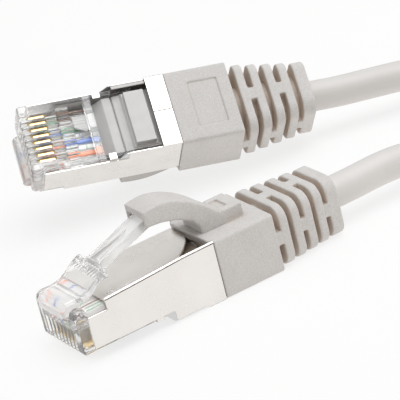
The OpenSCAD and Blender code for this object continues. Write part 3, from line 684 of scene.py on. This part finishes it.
def mould_parts():
    """The grey core behind the load bar, its pad, the apron under the bar and an arm along the
    wires on each side."""
    low, high, z = MOULD_PAD
    half = MOULD_PAD_HALF + PAD_STEP
    parts = [
        prism(MOULD_SIDE, "y", -MOULD_HALF, MOULD_HALF),
        box((low, -MOULD_PAD_HALF, z), (high, MOULD_PAD_HALF, 0.2)),
        box((low - PAD_STEP, -half, -0.15), (high + PAD_STEP, half, 0.2)),
        prism(MOULD_APRON, "z", 1.75, 2.2),
    ]
    for side in (-1, 1):
        near, off = sorted((side * 4.15, side * 4.6))
        parts.append(box((5.7, near, 2.5), (10.9, off, 4.3)))
    return together(*parts)


# ---- all the pieces of a plug ----

def plug_rows():
    """What each plug has on the root body, in rows: name, mesh, slot, rounding of flat faces or
    None, look where it isn't the slot's own, and the node that it stands for."""
    low, high = (ROOT_BLOCK_LOW[0], -NOSE_HALF, 0), (HOUSING_LEN, NOSE_HALF, ROOT_BLOCK_HIGH[1])
    housing = skin(housing_shape, low, high, 0.14)
    low, high = (1.6, -SHIELD_HALF, BAND_LOW), (SHIELD_END, SHIELD_HALF, 7.2)
    shield = flattened(*skin(shield_shape, low, high, 0.14))
    bar = skin(load_bar_shape, (5.5, -5.4, 0), (10.8, 5.4, 4.5), 0.12)
    haze = prism(HAZE_SIDE, "y", -HAZE_HALF, HAZE_HALF)
    floor = prism(SHIELD_FLOOR, "y", -SHIELD_FLOOR_HALF, SHIELD_FLOOR_HALF)
    rows = [
        ("clear_housing_", housing, "clear_plastic", None, None, "plug_housing_"),
        ("haze_", haze, "clear_plastic", 0.05, "milky_plastic", None),
        ("haze_bed_", box(*HAZE_BED), "clear_plastic", 0.05, "haze", None),
    ]
    for slot, glints in wire_glints().items():
        rows.append((f"glints_{slot}_", glints, slot, 0.02, None, None))
    rows += [
        # A dark sheet that paints the shade on the shield's floor
        ("shield_floor_", floor, "mould_plastic", 0.05, "shaded_floor", None),
        ("window_floors_", window_floors(), "clear_plastic", 0.03, "frosted_plastic", None),
        ("cross_bar_", box(*CROSS_BAR), "load_bar_plastic", 0.15, "bar_plastic", None),
        ("milky_bars_", milky_bars(), "load_bar_plastic", 0.12, "soft_plastic", None),
        ("shield_sheet_", shield, "shield_metal", None, None, "shield_"),
        ("shield_folds_", shield_folds(), "shield_metal", 0.05, None, None),
        # Painted shade: the gussets get a darker copy of the shield's metal
        ("shield_gussets_", gussets(), "shield_metal", 0.01, "painted_shade_fold_metal", None),
        # A grey sheet that paints the far wall's shade
        ("painted_shade_lining_", box(*PAINTED_SHADE_LINING), "mould_plastic", 0.04, None, None),
        # A dark box that paints the shade in the cavity
        ("cavity_", box(*CAVITY), "mould_plastic", 0.05, "shaded_floor", None),
        # A painted highlight along the near wall's crest
        ("shield_crest_", crest_strip(PAINTED_HIGHLIGHT_EDGE), "shield_metal", 0.02, "painted_highlight_edge", None),
        # Painted reflection: a dark line just below the near wall's crest
        ("shield_painted_dark_line_", crest_strip(PAINTED_DARK_LINE), "shield_metal", 0.01, "painted_dark_line", None),
        ("clear_bar_", bar, "load_bar_plastic", None, None, "load_bar_"),
        ("mould_core_", mould_parts(), "mould_plastic", 0.1, None, "inner_mould_"),
    ]
    return rows


def add_plugs(looks):
    rows = plug_rows()
    blades = [prism(CONTACT_SIDE, "y", y - CONTACT_T / 2, y + CONTACT_T / 2) for y in CONTACT_Y]
    foot = skin(latch_foot, (1.7, -LATCH_HALF, 6.2), (7, LATCH_HALF, 9.8), 0.12)
    rails = skin(latch_rails, (6.9, -1.95, 7.9), (15.6, 1.95, 12.5), 0.11)
    latch = (
        ("latch_foot_", foot, "soft_plastic", "latch_"),
        ("latch_rails_", rails, "milky_plastic", None),
        ("latch_web_", latch_web(), "frosted_plastic", None),
    )
    for end, place in PLACES.items():
        for name, mesh, slot, rounding, look, node in rows:
            add_piece(
                looks, name + end, place, mesh, slot, rounding, look, node=node and node + end
            )
        for i, blade in enumerate(blades, 1):
            add_piece(
                looks, f"blade_{end}{i}", place, blade, "contact_gold", 0.06,
                node=f"contact_{end}{i}",
            )
        for name, mesh, look, node in latch:
            piece = add_piece(
                looks, name + end, place, mesh, "clear_plastic", look=look, rides=None,
                node=node and node + end,
            )
            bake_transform(piece)


# ---- boot ----

BOOT_X, BOOT_END, RELIEF_END = 21.85, 31.15, 42.45
BOOT_HALF, BOOT_LOW, BOOT_TOP = 6, -BOOT_DROP, 7.2
LIP_REACH, LIP_HALF, LIP_T = 0.5, 5.2, 0.45
PANEL_LOW, PANEL_HIGH, PANEL_DEPTH = (24.9, -3.7), (29.3, 3.7), 0.16
PAD_START, PAD_END, PAD_TOP, PAD_HALF = 25.6, 28.9, 9.2, 2.56
POCKET_LOW, POCKET_HIGH, POCKET_FLOOR = (25.9, -1.5), (27.2, 1.5), 8.95
CABLE_Z, CORE_R, CABLE_BORE = 3.2, 3.3, 2.33
RIBS = [(32.15, 33.35), (34.3, 35.5), (36.45, 37.65), (38.55, 39.75), (40.7, 42.45)]
# Half widths and tops of the first and last ribs
RIB_HALF, RIB_TOP = (5.8, 4.35), (7.42, 7.35)
RIB_LOW, RIB_CORNER, RIB_RIM = -1.37, 2, 0.22
BRIDGE_HALF, BRIDGE_INSET = 0.95, 0.03


def boot_block(x, y, z):
    section = slab(y, z, (-BOOT_HALF, BOOT_LOW), (BOOT_HALF, BOOT_TOP), 0.5)
    block = extrude(section, x, BOOT_X, BOOT_END, 0.15)
    lip = slab(x, y, (BOOT_X - LIP_REACH, -LIP_HALF), (BOOT_X + 2, LIP_HALF), 0.4)
    block = join(block, extrude(lip, z, BOOT_TOP - LIP_T, BOOT_TOP, 0.12), 0.1)
    panel = slab(x, y, PANEL_LOW, PANEL_HIGH, 0.2)
    return cut(block, extrude(panel, z, BOOT_LOW - 1, BOOT_LOW + PANEL_DEPTH, 0.03), 0.05)


def boot_pad(x, y, z):
    side = slab(x, z, (PAD_START, BOOT_TOP - 1), (PAD_END, PAD_TOP), 0.3)
    pad = extrude(side, y, -PAD_HALF, PAD_HALF, 0.3)
    pocket = slab(x, y, POCKET_LOW, POCKET_HIGH, 0.2)
    return cut(pad, extrude(pocket, z, POCKET_FLOOR, 10, 0.08), 0.08)


def relief(x, y, z):
    """Five ribs on a round core, with the bridges between them by turns at the sides and at the
    top and bottom."""
    round_core = np.hypot(y, z - CABLE_Z) - CORE_R
    core = extrude(round_core, x, BOOT_END - 1, RELIEF_END - 0.5, 0.1)
    starts = [BOOT_END] + [end for _, end in RIBS[:-1]]
    for i, ((low, high), gap_start) in enumerate(zip(RIBS, starts)):
        share = i / (len(RIBS) - 1)
        half = RIB_HALF[0] + (RIB_HALF[1] - RIB_HALF[0]) * share
        top = RIB_TOP[0] + (RIB_TOP[1] - RIB_TOP[0]) * share
        if i % 2:
            corners = (-BRIDGE_HALF, RIB_LOW + BRIDGE_INSET), (BRIDGE_HALF, top - BRIDGE_INSET)
        else:
            reach = half - BRIDGE_INSET
            corners = (-reach, CABLE_Z - BRIDGE_HALF), (reach, CABLE_Z + BRIDGE_HALF)
        bridge = extrude(slab(y, z, *corners, 0.1), x, gap_start - 0.5, low + 0.5, 0.1)
        core = join(core, bridge, 0.25)
        rib = slab(y, z, (-half, RIB_LOW), (half, top), RIB_CORNER)
        core = join(core, extrude(rib, x, low - 0.04, high + 0.04, RIB_RIM), 0.15)
    return core


def boot_shape(x, y, z):
    body = join(boot_block(x, y, z), boot_pad(x, y, z), 0.2)
    body = join(body, relief(x, y, z), 0.25)
    bore = np.hypot(y, z - CABLE_Z) - CABLE_BORE
    return cut(body, extrude(bore, x, RELIEF_END - 3, RELIEF_END + 2, 0.1), 0.2)


# ---- latch hood ----

HOOD_HALF = 2.57
HOOD_ROOF, HOOD_WALL, HOOD_HOLLOW_END = 1.15, 0.5, 19.6
HOOD_CREST = [
    (14.4, 13.78), (16, 14), (17.7, 13.95), (19.4, 13.5), (21.5, 12.5), (23, 11.45), (24.4, 10.2),
    (25.56, 9.2), (26.4, 8.6),
]
HOOD_BELLY = [(21.5, 9.4), (19.6, 10.4), (18.2, 10.9), (17, 11.2), (15.7, 11.36), (14.4, 11.4)]
HOOD_FOOT = [(26.4, 7), (22.3, 7), (22.2, 7.5), (22, 8.4)]


def hood_shape(x, y, z):
    side = outline_distance(x, z, through(HOOD_CREST) + HOOD_FOOT + through(HOOD_BELLY)[1:])
    hood = extrude(side, y, -HOOD_HALF, HOOD_HALF, 0.35)
    roof = [(px - 0.05, pz - HOOD_ROOF) for px, pz in HOOD_CREST[1:4]]
    mouth = [(10, HOOD_CREST[0][1] - HOOD_ROOF)] + roof + [(HOOD_HOLLOW_END, 5), (10, 5)]
    inner_half = HOOD_HALF - HOOD_WALL
    hollow = extrude(outline_distance(x, z, mouth), y, -inner_half, inner_half, 0.35)
    return cut(hood, hollow, 0.15)


def add_boots_and_hoods(looks):
    boot = skin(boot_shape, (21.3, -BOOT_HALF, BOOT_LOW), (42.7, BOOT_HALF, 9.3), 0.17)
    hood = skin(hood_shape, (14.3, -2.6, 7), (26.4, 2.6, 14.1), 0.16)
    for end, place in PLACES.items():
        add_piece(looks, "boot_body_" + end, place, boot, "boot_rubber", node="boot_" + end)
        piece = add_piece(
            looks, "hood_cover_" + end, place, hood, "boot_rubber", rides=None,
            node="latch_hood_" + end,
        )
        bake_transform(piece)


# ---- materials ----

def new_material(name):
    mat = bpy.data.materials.new(name)
    mat.use_nodes = True
    tree = mat.node_tree
    return mat, tree, tree.nodes["Principled BSDF"]


def noise(tree, scale, detail=3):
    """Noise over the object's own space, with its scale in cells per metre."""
    place = tree.nodes.new("ShaderNodeTexCoord")
    node = tree.nodes.new("ShaderNodeTexNoise")
    node.inputs["Scale"].default_value = scale
    node.inputs["Detail"].default_value = detail
    tree.links.new(place.outputs["Object"], node.inputs["Vector"])
    return node.outputs["Fac"]


def ramp(tree, factor, stops):
    """Colours or greys at places from 0 to 1 along a factor."""
    node = tree.nodes.new("ShaderNodeValToRGB")
    band = node.color_ramp
    while len(band.elements) < len(stops):
        band.elements.new(0.5)
    for element, (at, colour) in zip(band.elements, stops):
        element.position = at
        element.color = (*colour, 1) if isinstance(colour, tuple) else (colour, colour, colour, 1)
    tree.links.new(factor, node.inputs["Fac"])
    return node.outputs["Color"]


def mixed(tree, factor, first, second, blend="MIX"):
    """Two colours, or one colour and a link, mixed by a number or a link from 0 to 1."""
    node = tree.nodes.new("ShaderNodeMix")
    node.data_type = "RGBA"
    node.blend_type = blend
    colours = [i for i in node.inputs if i.type == "RGBA"]
    for socket, value in ((node.inputs["Factor"], factor), *zip(colours, (first, second))):
        if isinstance(value, tuple):
            socket.default_value = (*value, 1)
        elif isinstance(value, (int, float)):
            socket.default_value = value
        else:
            tree.links.new(value, socket)
    return [o for o in node.outputs if o.type == "RGBA"][0]


def tinted(tree, first, second):
    return mixed(tree, 1, first, second, "MULTIPLY")


def either(tree, share, first, second):
    """Ends a material in its first shader, or its second by a share from 0 to 1."""
    node = tree.nodes.new("ShaderNodeMixShader")
    tree.links.new(share, node.inputs["Fac"])
    tree.links.new(first, node.inputs[1])
    tree.links.new(second, node.inputs[2])
    tree.links.new(node.outputs["Shader"], tree.nodes["Material Output"].inputs["Surface"])


def bump(tree, shader, height, distance, strength):
    node = tree.nodes.new("ShaderNodeBump")
    node.inputs["Distance"].default_value = distance
    node.inputs["Strength"].default_value = strength
    tree.links.new(height, node.inputs["Height"])
    tree.links.new(node.outputs["Normal"], shader.inputs["Normal"])


def painted_shade_and_edge_highlight(tree, hollow, edge):
    """Painted shade for hollows, a painted highlight for outer edges, and white between, from how
    sharply a surface bends."""
    shape = tree.nodes.new("ShaderNodeNewGeometry")
    return ramp(
        tree, shape.outputs["Pointiness"],
        [(0.4, hollow), (0.49, (1, 1, 1)), (0.52, (1, 1, 1)), (0.6, edge)],
    )


def warm_grooves(tree):
    """A warm tint for grooves, where light has bounced between the rubber's own faces."""
    shade = tree.nodes.new("ShaderNodeAmbientOcclusion")
    shade.samples = 8
    shade.only_local = True
    shade.inputs["Distance"].default_value = 3 * MM
    return ramp(tree, shade.outputs["AO"], [(0.25, (1.02, 0.91, 0.81)), (0.8, (1, 1, 1))])


def rubber():
    """Matt grey rubber with a fine speckle, with painted shade that makes its hollows browner and a
    painted highlight that makes its edges pale.
    """
    mat, tree, shader = new_material("boot_rubber_look")
    cloudy = noise(tree, 260, 4)
    colour = ramp(tree, cloudy, [(0.3, (0.592, 0.58, 0.568)), (0.7, (0.635, 0.623, 0.611))])
    speckle = ramp(tree, noise(tree, 5200, 2), [(0.3, 0.9), (0.7, 1.08)])
    colour = tinted(tree, colour, speckle)
    # Painted shade in the hollows and a painted highlight along the edges
    colour = tinted(tree, colour, painted_shade_and_edge_highlight(tree, (0.62, 0.52, 0.43), (1.07, 1.045, 1.03)))
    colour = tinted(tree, colour, warm_grooves(tree))
    tree.links.new(colour, shader.inputs["Base Color"])
    tree.links.new(ramp(tree, cloudy, [(0.3, 0.62), (0.7, 0.74)]), shader.inputs["Roughness"])
    bump(tree, shader, noise(tree, 3200, 3), 0.00006, 0.6)
    return mat


def jacket():
    mat, tree, shader = new_material("jacket_look")
    cloudy = noise(tree, 120, 3)
    tree.links.new(
        ramp(tree, cloudy, [(0.3, (0.65, 0.636, 0.622)), (0.7, (0.69, 0.676, 0.662))]),
        shader.inputs["Base Color"],
    )
    shader.inputs["Roughness"].default_value = 0.42
    bump(tree, shader, noise(tree, 1500, 2), 0.00003, 0.4)
    return mat


def metal(name, dark, light, rough, grain=0.3):
    mat, tree, shader = new_material(name)
    cloudy = noise(tree, 300, 4)
    tree.links.new(ramp(tree, cloudy, [(0.3, dark), (0.7, light)]), shader.inputs["Base Color"])
    tree.links.new(
        ramp(tree, cloudy, [(0.3, rough - 0.06), (0.7, rough + 0.06)]), shader.inputs["Roughness"]
    )
    shader.inputs["Metallic"].default_value = 1
    bump(tree, shader, noise(tree, 2500, 2), 0.00002, grain)
    return mat


def plastic(name, dark, light, rough=0.4):
    mat, tree, shader = new_material(name)
    cloudy = noise(tree, 400, 3)
    tree.links.new(ramp(tree, cloudy, [(0.3, dark), (0.7, light)]), shader.inputs["Base Color"])
    shader.inputs["Roughness"].default_value = rough
    bump(tree, shader, noise(tree, 1800, 2), 0.00003, 0.3)
    return mat


def fuzzy_strap():
    """Dark hook-and-loop tape: a fine pile with a soft sheen."""
    mat, tree, shader = new_material("tie_look")
    pile = noise(tree, 4200, 3)
    colour = ramp(tree, pile, [(0.35, (0.012, 0.012, 0.014)), (0.65, (0.06, 0.06, 0.066))])
    tree.links.new(colour, shader.inputs["Base Color"])
    shader.inputs["Roughness"].default_value = 0.9
    shader.inputs["Sheen Weight"].default_value = 0.3
    bump(tree, shader, pile, 0.00015, 0.9)
    return mat


def striped(name, colour):
    """White insulation with a coloured trace."""
    mat, tree, shader = new_material(name)
    trace = ramp(tree, noise(tree, 1400, 2), [(0.57, (0.8, 0.8, 0.8)), (0.62, colour)])
    tree.links.new(trace, shader.inputs["Base Color"])
    shader.inputs["Roughness"].default_value = 0.3
    bump(tree, shader, noise(tree, 1800, 2), 0.00003, 0.3)
    return mat


def clear(name, tint, through_share):
    """Slightly milky moulded plastic that lets the lamps' light through to what it covers."""
    mat, tree, shader = new_material(name)
    shader.inputs["Base Color"].default_value = (*tint, 1)
    shader.inputs["Transmission Weight"].default_value = through_share
    shader.inputs["IOR"].default_value = 1.5
    cloudy = noise(tree, 300, 2)
    tree.links.new(ramp(tree, cloudy, [(0.3, 0.02), (0.8, 0.05)]), shader.inputs["Roughness"])
    bump(tree, shader, noise(tree, 250, 1), 0.00004, 0.15)
    passing = tree.nodes.new("ShaderNodeBsdfTransparent")
    passing.inputs["Color"].default_value = (*tint, 1)
    path = tree.nodes.new("ShaderNodeLightPath")
    either(tree, path.outputs["Is Shadow Ray"], shader.outputs["BSDF"], passing.outputs["BSDF"])
    return mat


WIRE_COLOURS = {
    "wire_orange": (0.8, 0.2, 0.05),
    "wire_green": (0.03, 0.27, 0.1),
    "wire_blue": (0.02, 0.13, 0.5),
    "wire_brown": (0.2, 0.085, 0.03),
}


def make_materials():
    looks = {
        "boot_rubber": rubber(),
        "cable_jacket": jacket(),
        "shield_metal": metal("shield_look", (0.84, 0.81, 0.775), (0.9, 0.87, 0.835), 0.3, 0.08),
        "contact_gold": metal("gold_look", (0.9, 0.64, 0.27), (1, 0.82, 0.47), 0.14),
        "clear_plastic": clear("clear_look", (0.985, 0.985, 0.98), 0.94),
        "soft_plastic": clear("soft_look", (0.97, 0.97, 0.97), 0.82),
        # Painted shade: a dark brown for the floor and cavity inside the shield
        "shaded_floor": plastic("shaded_floor_look", (0.25, 0.2, 0.155), (0.32, 0.265, 0.21), 0.5),
        "milky_plastic": clear("milky_look", (0.96, 0.96, 0.96), 0.62),
        "frosted_plastic": clear("frosted_look", (0.66, 0.65, 0.64), 0.4),
        "haze": clear("haze_look", (0.99, 0.975, 0.975), 0.25),
        "bar_plastic": clear("bar_look", (0.97, 0.975, 0.98), 0.88),
        # Painted shade: a darker copy of the shield's metal, for its folded corners
        "painted_shade_fold_metal": metal("painted_shade_fold_look", (0.66, 0.66, 0.66), (0.74, 0.74, 0.74), 0.35, 0.08),
        "load_bar_plastic": clear("load_bar_look", (0.98, 0.98, 0.98), 0.97),
        # Painted highlight: a whiter copy of the shield's metal, for the crest
        "painted_highlight_edge": metal("painted_highlight_edge_look", (0.93, 0.92, 0.91), (1, 1, 1), 0.4),
        # Painted reflection: a near-black brown for the dark line below the crest
        "painted_dark_line": plastic("painted_dark_line_look", (0.05, 0.03, 0.02), (0.3, 0.24, 0.19), 0.6),
        "mould_plastic": plastic("mould_look", (0.57, 0.57, 0.57), (0.63, 0.63, 0.62)),
        "foil": metal("foil_look", (0.6, 0.6, 0.6), (0.75, 0.75, 0.75), 0.35),
        "tie_fabric": fuzzy_strap(),
    }
    for slot, colour in WIRE_COLOURS.items():
        light = tuple(min(1, c * 1.25) for c in colour)
        looks[slot] = plastic(slot + "_look", colour, light, 0.3)
        white = slot.replace("wire_", "wire_white_")
        looks[white] = striped(white + "_look", light)
    return looks


def dress_nodes(looks):
    """Gives each CAD node its slot's material, welds it and rounds its sharp edges a little."""
    slots = {part["node"]: part["material_slot"] for part in frame["record"]["subparts"]}
    for name, node in frame["nodes"].items():
        for slot in node.material_slots:
            slot.material = looks[slots[name]]
        round_edges(node, 0.08)


# ---- floor, backdrop and light ----

FLOOR_REACH = 4
# Share of the floor's light that is its own glow, for lit surfaces and for what sees it
LIT_GLOW, SEEN_GLOW = 0.35, 0.75
# The world's brightness from the horizon up, for lit surfaces, and for gloss and clear plastic
LIT_SKY = [(0, (0.17, 0.15, 0.13)), (0.35, (0.35, 0.33, 0.31)), (1, 0.97)]
GLOSS_SKY = [
    (0, (0.2, 0.17, 0.14)), (0.12, (0.25, 0.22, 0.19)), (0.3, 0.66), (0.6, 0.88), (1, 1.0),
]


def seen_plainly(tree):
    """1 where the camera, a gloss or clear plastic looks, and 0 where a surface is lit."""
    path = tree.nodes.new("ShaderNodeLightPath")
    last = path.outputs["Is Camera Ray"]
    for name in ("Is Glossy Ray", "Is Transmission Ray"):
        most = tree.nodes.new("ShaderNodeMath")
        most.operation = "MAXIMUM"
        tree.links.new(last, most.inputs[0])
        tree.links.new(path.outputs[name], most.inputs[1])
        last = most.outputs["Value"]
    return last


def floor_material():
    """A white floor that still takes a faint shadow, and lights what faces it a little."""
    mat, tree, shader = new_material("floor_look")
    pale = ramp(tree, noise(tree, 30), [(0.3, 0.86), (0.7, 0.88)])
    seen = seen_plainly(tree)
    tree.links.new(mixed(tree, seen, (0.92, 0.9, 0.88), pale), shader.inputs["Base Color"])
    shader.inputs["Roughness"].default_value = 0.9
    glow = tree.nodes.new("ShaderNodeEmission")
    tree.links.new(mixed(tree, seen, (1.45, 1.41, 1.37), (1, 1, 1)), glow.inputs["Color"])
    share = tree.nodes.new("ShaderNodeMath")
    share.operation = "MULTIPLY_ADD"
    share.inputs[1].default_value = SEEN_GLOW - LIT_GLOW
    share.inputs[2].default_value = LIT_GLOW
    tree.links.new(seen, share.inputs[0])
    either(tree, share.outputs["Value"], shader.outputs["BSDF"], glow.outputs["Emission"])
    return mat


def add_floor():
    reach = FLOOR_REACH
    corners = [(-reach, -reach, 0), (reach, -reach, 0), (reach, reach, 0), (-reach, reach, 0)]
    floor = add_mesh("floor", Matrix(), corners, [(0, 1, 2, 3)], smooth_faces=False)
    floor.data.materials.append(floor_material())


def add_world():
    """A white room with a soft ceiling. Lit surfaces get less from low down, and gloss and clear
    plastic see a dark band along the horizon."""
    world = bpy.data.worlds.new("world")
    bpy.context.scene.world = world
    world.use_nodes = True
    tree = world.node_tree
    path = tree.nodes.new("ShaderNodeLightPath")
    place = tree.nodes.new("ShaderNodeTexCoord")
    parts = tree.nodes.new("ShaderNodeSeparateXYZ")
    tree.links.new(place.outputs["Generated"], parts.inputs["Vector"])
    lit = ramp(tree, parts.outputs["Z"], LIT_SKY)
    gloss = ramp(tree, parts.outputs["Z"], GLOSS_SKY)
    colour = mixed(tree, seen_plainly(tree), lit, gloss)
    colour = mixed(tree, path.outputs["Is Camera Ray"], colour, (1, 1, 1))
    tree.links.new(colour, tree.nodes["Background"].inputs["Color"])


def add_area(name, place, aim, size, watts):
    data = bpy.data.lights.new(name, "AREA")
    data.shape = "DISK"
    data.size = size
    data.energy = watts
    lamp = bpy.data.objects.new(name, data)
    lamp.location = place
    lamp.rotation_euler = (Vector(aim) - Vector(place)).to_track_quat("-Z", "Y").to_euler()
    bpy.context.scene.collection.objects.link(lamp)


# ---- the scene ----

add_camera()
looks = make_materials()
cable = add_cable()
cable.data.materials.append(looks["cable_jacket"])
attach(cable, "root")
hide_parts("cable_lead_a", "cable_coil", "cable_lead_b")
tie = add_piece(
    looks, "tie_strap", Matrix.Scale(MM, 4), tie_mesh(), "tie_fabric", 0.08, node="coil_tie"
)
add_boots_and_hoods(looks)
add_plugs(looks)
dress_nodes(looks)
add_floor()
add_world()
add_area("key", place=(0.28, -0.15, 0.7), aim=(0, 0, 0), size=0.7, watts=3.2)
bpy.context.scene.view_settings.view_transform = "Standard"
